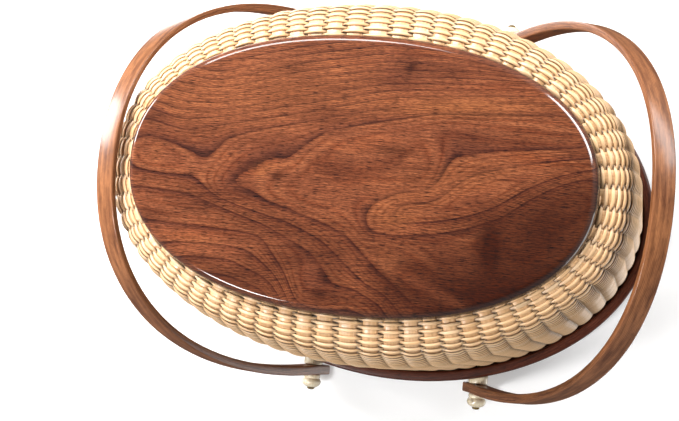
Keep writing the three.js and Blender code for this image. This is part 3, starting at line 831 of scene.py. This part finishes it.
def make_hoop(name, node, half, thickness, low, high, ease, ring_spacing):
    """A bent strip: a rounded rectangle carried round an ellipse, its outer face on the given half axes."""
    steps_round = 240
    section = rounded_rectangle(thickness / 2, (high - low) / 2, ease)
    angle = full_turn(steps_round)
    inset = section[:, 0] - thickness / 2
    x, y = oval(angle[:, None], half + inset[None, :, None])
    z = np.broadcast_to((low + high) / 2 + section[:, 1], x.shape)
    points = np.stack([x, y, z], axis=-1)
    round_length = np.linspace(0, np.pi * half.sum(), steps_round + 1)
    girth = np.linspace(0, 2 * (thickness + high - low), len(section) + 1)
    uv = np.stack(np.meshgrid(round_length, girth, indexing="ij"), axis=-1)
    lean_rings, lean_waves, ring_slope = 0.4, 3, 0.5
    lean = lean_rings * np.sin(lean_waves * angle)[:, None]
    figure = (z - low + ring_slope * inset) / ring_spacing + lean
    return add_piece(name, points, rim_walnut, "walnut_rim", "basket", [node], wrap_rows=True, uv=uv,
                     values={"figure": figure, "shade": np.zeros(x.shape)})


# Handles

pivot_height = pivots["handle_left"].z
pivot_x = pivots["handle_right"].x
rim_face_y = ellipse_y(pivot_x, RIM_HALF)
handle_inner_y = rim_face_y + SPACER_LENGTH
handle_middle_y = handle_inner_y + HANDLE_END_THICKNESS / 2
handle_outer_y = handle_inner_y + HANDLE_END_THICKNESS
crown_out = BASE_HALF[0] + CROWN_END_CLEARANCE - pivot_x
crown_down = pivot_height - CROWN_HEIGHT
handle_reach = np.hypot(crown_out, crown_down)
left_hang = np.arctan2(crown_down, crown_out)
right_hang = left_hang - np.radians(RIGHT_HANDLE_LIFT)


def handle_line():
    """The hoop's middle line in its own plane, out from the pivots and across: a straight tail, then a
    cubic curve from the pivot to the crown, and the same mirrored.
    """
    curve_steps, tail_steps = 70, 7
    leg = handle_reach * HANDLE_LEG_FULLNESS
    pivot = np.array([0, handle_middle_y])
    leg_end = pivot + leg * np.array([np.cos(HANDLE_LEG_FLARE), np.sin(HANDLE_LEG_FLARE)])
    crown_side = np.array([handle_reach, handle_middle_y * HANDLE_CROWN_FULLNESS])
    crown = np.array([handle_reach, 0])
    s = np.linspace(0, 1, curve_steps)[:, None]
    curve = (
        (1 - s) ** 3 * pivot
        + 3 * (1 - s) ** 2 * s * leg_end
        + 3 * (1 - s) * s ** 2 * crown_side
        + s ** 3 * crown
    )
    end_steps = np.array([0, 0.12, 0.45, 1]) * HANDLE_EASE - HANDLE_TAIL
    tail_x = np.concatenate([end_steps, np.linspace(end_steps[-1], 0, tail_steps)[1:-1]])
    tail = np.column_stack([tail_x, np.full(len(tail_x), handle_middle_y)])
    upper = np.concatenate([tail, curve])
    lower = upper[-2::-1] * np.array([1, -1])
    return np.concatenate([upper, lower])


def make_handle(name, pivot, turn):
    """A strip that thins towards the crown: a rounded rectangle carried along the hoop's middle line, then
    turned about Y to its rest angle and moved to its pivot. Each end shrinks round a quarter circle.
    """
    line = handle_line()
    along = unit(np.gradient(line, axis=0))
    across = np.stack([-along[:, 1], along[:, 0]], axis=-1)
    length = lengths_along(line)
    from_end = np.minimum(length, length[-1] - length)
    inside_ease = np.clip(HANDLE_EASE - from_end, 0, HANDLE_EASE)
    shrink = HANDLE_EASE - np.sqrt(HANDLE_EASE ** 2 - inside_ease ** 2)
    thin_share = smoothstep(line[:, 0], HANDLE_TAIL, handle_reach)
    thickness = HANDLE_END_THICKNESS + (HANDLE_CROWN_THICKNESS - HANDLE_END_THICKNESS) * thin_share
    half_wide = HANDLE_WIDTH / 2 - shrink
    half_thick = thickness / 2 - shrink
    section = rounded_rectangle(half_wide[:, None], half_thick[:, None], HANDLE_EASE)
    wide, thick = section[..., 0], section[..., 1]
    local = np.concatenate([line[:, None] + thick[..., None] * across[:, None], wide[..., None]], axis=-1)
    swing = np.array(Matrix.Rotation(turn, 3, "Y"))
    points = local @ swing.T + np.array(pivot)
    girth = np.linspace(0, 2 * (HANDLE_WIDTH + HANDLE_END_THICKNESS), wide.shape[1] + 1)
    uv = np.stack(np.meshgrid(length, girth, indexing="ij"), axis=-1)
    ring_spacing, ring_slope = 3.2 * MM, 0.6
    wave_rings, waves_per_metre = 0.5, 1.4
    wave = wave_rings * np.sin(2 * np.pi * waves_per_metre * length)[:, None]
    figure = (wide + ring_slope * thick) / ring_spacing + wave
    return add_piece(name, points, handle_walnut, "walnut_handle", name, [name], capped=True, uv=uv,
                     values={"figure": figure, "shade": np.zeros(thick.shape)})


# Pivots

def make_turned(name, profile, pivot, side, material, slot):
    """A profile of (radius, distance along the pivot axis from the middle plane) turned about that axis."""
    steps_round = 40
    angle = full_turn(steps_round)
    radius, reach = profile[:, :1], profile[:, 1:]
    points = np.stack([
        pivot.x + radius * np.cos(angle),
        np.broadcast_to(side * reach, (len(profile), steps_round)),
        pivot.z + radius * np.sin(angle),
    ], axis=-1)
    return add_piece(name, points, material, slot, "basket", [name], capped=True)


def knob_profile():
    """A foot with eased edges, a shallow waist, and a ball that ends at the pin's bore."""
    ease = 0.5 * MM
    low = np.degrees(np.arcsin(KNOB_WAIST_RADIUS / KNOB_RADIUS))
    ball_half = (KNOB_LENGTH - KNOB_WAIST_HEIGHT) / (1 + np.cos(np.radians(low)))
    ball_middle = KNOB_LENGTH - ball_half
    foot = np.concatenate([
        arc(-90, 0, (KNOB_FOOT_RADIUS - ease, ease), (ease, ease), 5),
        arc(0, 75, (KNOB_FOOT_RADIUS - ease, KNOB_FOOT_HEIGHT - ease), (ease, ease), 5),
    ])
    bore_angle = np.degrees(np.arccos(PIN_HOLE_RADIUS / KNOB_RADIUS))
    ball = arc(low - 90, bore_angle, (0, ball_middle), (KNOB_RADIUS, ball_half), 22)
    profile = np.concatenate([[(PIN_HOLE_RADIUS, 0)], foot, ball])
    return profile + (0, handle_outer_y + GAP)


def pin_profile(head_inner_y):
    """A plain shank with a domed, peened head at each end."""
    tip_y = handle_outer_y + GAP + KNOB_LENGTH
    inner_head = arc(-90, 0, (0, head_inner_y), (PIN_HEAD_RADIUS, PIN_HEAD_HEIGHT), 8)[1:]
    outer_head = arc(0, 90, (0, tip_y), (PIN_HEAD_RADIUS, PIN_HEAD_HEIGHT), 8)[:-1]
    shank = np.array([(PIN_RADIUS, head_inner_y), (PIN_RADIUS, tip_y)])
    return np.concatenate([inner_head, shank, outer_head])


def washer_profile(inner_y):
    """A low disc with its inner face eased."""
    ease = 0.6 * MM
    outer_y = inner_y + WASHER_THICKNESS
    rim = arc(-90, 0, (WASHER_RADIUS - ease, inner_y + ease), (ease, ease), 6)
    back = [(WASHER_RADIUS, outer_y), (PIN_HOLE_RADIUS, outer_y)]
    return np.concatenate([[(PIN_HOLE_RADIUS, inner_y)], rim, back])


def make_spacer(name, pivot, side):
    """A short round bar whose flat end meets the handle and whose other end follows the rim's ellipse."""
    steps_round = 40
    ease, end_ring = 0.35 * MM, 3 * MM
    angle = full_turn(steps_round)
    shares = np.array([0.0, 0.0, 0.12, 0.5, 0.88, 1.0, 1.0])[:, None]
    radius = SPACER_RADIUS - np.array([end_ring, ease, 0, 0, 0, ease, end_ring])[:, None]
    x = pivot.x + radius * np.cos(angle)
    z = pivot.z + radius * np.sin(angle)
    rim_y = ellipse_y(x, RIM_HALF)
    y = rim_y + shares * (handle_inner_y - GAP - rim_y)
    return add_piece(name, np.stack([x, side * y, z], axis=-1), bone, "bone", "basket", [name], capped=True)


def make_pivots():
    """A spacer, a knob, an inner washer and a pin at each end of both handle axes."""
    inner_half = INNER_HOOP_HALF - INNER_HOOP_THICKNESS
    washer_outer_y = ellipse_y(pivot_x + WASHER_RADIUS, inner_half) - GAP
    washer_inner_y = washer_outer_y - WASHER_THICKNESS
    for handle, pivot in pivots.items():
        side_name = handle.removeprefix("handle_")
        for end, side in (("front", 1), ("back", -1)):
            place = f"{side_name}_{end}"
            make_spacer(f"spacer_{place}", pivot, side)
            turned = [
                ("knob", knob_profile(), bone, "bone"),
                ("inner_washer", washer_profile(washer_inner_y), bone, "bone"),
                ("pivot_pin", pin_profile(washer_inner_y), brass, "brass_pin"),
            ]
            for kind, profile, material, slot in turned:
                make_turned(f"{kind}_{place}", profile, pivot, side, material, slot)


base_board = make_base_board()
make_wall()
make_hoop("rim_outer_hoop_bent", "rim_outer_hoop", RIM_HALF, OUTER_HOOP_THICKNESS, hoop_low.z, hoop_high.z,
          OUTER_HOOP_EASE, HOOP_RING_SPACING)
make_hoop("rim_inner_hoop_bent", "rim_inner_hoop", INNER_HOOP_HALF, INNER_HOOP_THICKNESS, inner_low.z,
          inner_high.z, INNER_HOOP_EASE, HOOP_RING_SPACING)
make_hoop("rim_cap_bent", "rim_cap", CAP_HALF, CAP_WIDTH, cap_low.z, cap_high.z, CAP_EASE, CAP_RING_SPACING)
make_handle("handle_left", pivots["handle_left"], np.pi - left_hang)
make_handle("handle_right", pivots["handle_right"], right_hang)
make_pivots()


# Studio: a pale floor under the basket that shows only from above, and a white table over its mouth that
# shows only from below, where the photograph's camera is

def add_stage(name, half_size, height, faces_up, colour, glow, sides):
    """A level oval or square that shows on one side only, may glow, and lets all other light through."""
    angle = 2 * np.pi * (np.arange(sides) + 0.5) / sides
    x, y = oval(angle, np.asarray(half_size))
    corners = np.column_stack([x, y, np.full(sides, height)])
    order = np.arange(sides) if faces_up else np.arange(sides)[::-1]
    mesh = bpy.data.meshes.new(name)
    mesh.from_pydata(corners.tolist(), [], [order.tolist()])
    material, tree, shader, _ = start_material(f"{name}_matt_paper")
    feed(tree, shader, {
        "Base Color": linear(colour), "Roughness": 0.9, "Emission Color": linear(colour),
        "Emission Strength": glow,
    })
    side = add_node(tree, "ShaderNodeNewGeometry").outputs["Backfacing"]
    clear = add_node(tree, "ShaderNodeBsdfTransparent")
    one_sided = add_node(tree, "ShaderNodeMixShader", {0: side, 1: shader, 2: clear})
    feed(tree, tree.nodes["Material Output"], {"Surface": one_sided})
    mesh.materials.append(material)
    plane = bpy.data.objects.new(name, mesh)
    bpy.context.collection.objects.link(plane)
    plane.visible_shadow = False
    plane.visible_diffuse = False
    plane.visible_glossy = False
    plane.visible_transmission = False
    plane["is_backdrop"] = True


def add_light(name, place, target, width, height, power, seen_in=None):
    """A softbox turned to its target, with its width level.

    One that is seen in a piece shows only there, as a reflection, and lights nothing else.
    """
    light = bpy.data.lights.new(name, "AREA")
    light.shape = "RECTANGLE"
    light.size = width
    light.size_y = height
    light.energy = power
    lamp = bpy.data.objects.new(name, light)
    if seen_in:
        lamp.visible_diffuse = False
        lit = bpy.data.collections.new(f"seen_in_{seen_in.name}")
        lit.objects.link(seen_in)
        lamp.light_linking.receiver_collection = lit
    lamp.location = place
    lamp.rotation_euler = (Vector(target) - Vector(place)).to_track_quat("-Z", "Y").to_euler()
    bpy.context.collection.objects.link(lamp)


def add_camera():
    """Looks from CAMERA_AT to CAMERA_TARGET, with CAMERA_UP rolled about the line of sight."""
    forward = (CAMERA_TARGET - CAMERA_AT).normalized()
    level_right = forward.cross(CAMERA_UP).normalized()
    level_up = level_right.cross(forward)
    roll = np.radians(CAMERA_ROLL)
    up = level_up * np.cos(roll) + level_right * np.sin(roll)
    right = forward.cross(up)
    turn = Matrix((right, up, -forward)).transposed()
    lens = bpy.data.cameras.new("photograph_camera")
    lens.sensor_width = SENSOR_WIDTH
    lens.sensor_fit = "HORIZONTAL"
    lens.lens = FOCAL_PIXELS * SENSOR_WIDTH / IMAGE_WIDTH
    lens.clip_start = CAMERA_NEAR
    camera = bpy.data.objects.new("photograph_camera", lens)
    camera.matrix_world = Matrix.Translation(CAMERA_AT) @ turn.to_4x4()
    bpy.context.collection.objects.link(camera)
    bpy.context.scene.camera = camera


def add_world(level_strength, upright_strength):
    """White light from all round, brightest from the sides and weaker from straight above and below."""
    world = bpy.data.worlds.new("white_studio")
    world.use_nodes = True
    tree = world.node_tree
    direction = add_node(tree, "ShaderNodeTexCoord").outputs["Generated"]
    upright = add_node(tree, "ShaderNodeSeparateXYZ", {"Vector": direction}).outputs["Z"]
    steepness = add_node(tree, "ShaderNodeMath", {0: upright}, operation="ABSOLUTE")
    strength = add_node(tree, "ShaderNodeMapRange", {
        "Value": steepness, "To Min": level_strength, "To Max": upright_strength,
    })
    feed(tree, tree.nodes["Background"], {"Color": (1, 1, 1, 1), "Strength": strength})
    bpy.context.scene.world = world


studio_half = (4.0, 4.0)
floor_drop = 0.2 * MM
table_height = cap_high.z + 2 * MM
shaded_half, shaded_height = RIM_HALF - 3 * MM, cap_high.z + 1 * MM
add_stage("pale_floor", studio_half, -floor_drop, True, "#ECEAE6", glow=0.0, sides=4)
add_stage("white_table", studio_half, table_height, False, "#D8D8D8", glow=0.54, sides=4)
# a dark oval of painted shade where the table lies inside the rim, which the lamps cannot reach
add_stage("painted_shade_inside_the_rim", shaded_half, shaded_height, False, "#5A4A38", glow=0.0, sides=96)
# Softboxes: place and target in metres, width, height and watts
add_light("key_softbox_below", (-0.4, -0.75, -0.85), (0, 0, 0.08), 0.6, 0.6, 26.5)
add_light("left_softbox_below", (-1.0, -0.34, -0.2), (0, 0, 0.08), 0.36, 0.36, 12.5)
add_light("right_softbox_below", (0.85, -0.75, -0.3), (0, 0, 0.08), 0.8, 0.3, 11)
add_light("edge_reflector_below", (0.8, -0.72, -0.42), (0, 0, 0.05), 0.7, 0.75, 35, seen_in=base_board)
add_light("low_softbox_below", (-0.5, 0.6, -0.8), (0, 0, 0.05), 0.25, 0.25, 11.5)
add_light("key_softbox_above", (-0.8, -0.9, 1.4), (0, 0, 0.1), 0.9, 0.9, 18)
add_light("fill_softbox_above", (1.1, 0.4, 1.0), (0, 0, 0.1), 0.8, 0.8, 6)
add_world(level_strength=0.48, upright_strength=0.03)
add_camera()
bpy.context.scene.view_settings.view_transform = "Standard"

boxes = {"cad": cad_box, "visual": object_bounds()}
{key: [list(corner) for corner in box] for key, box in boxes.items()}
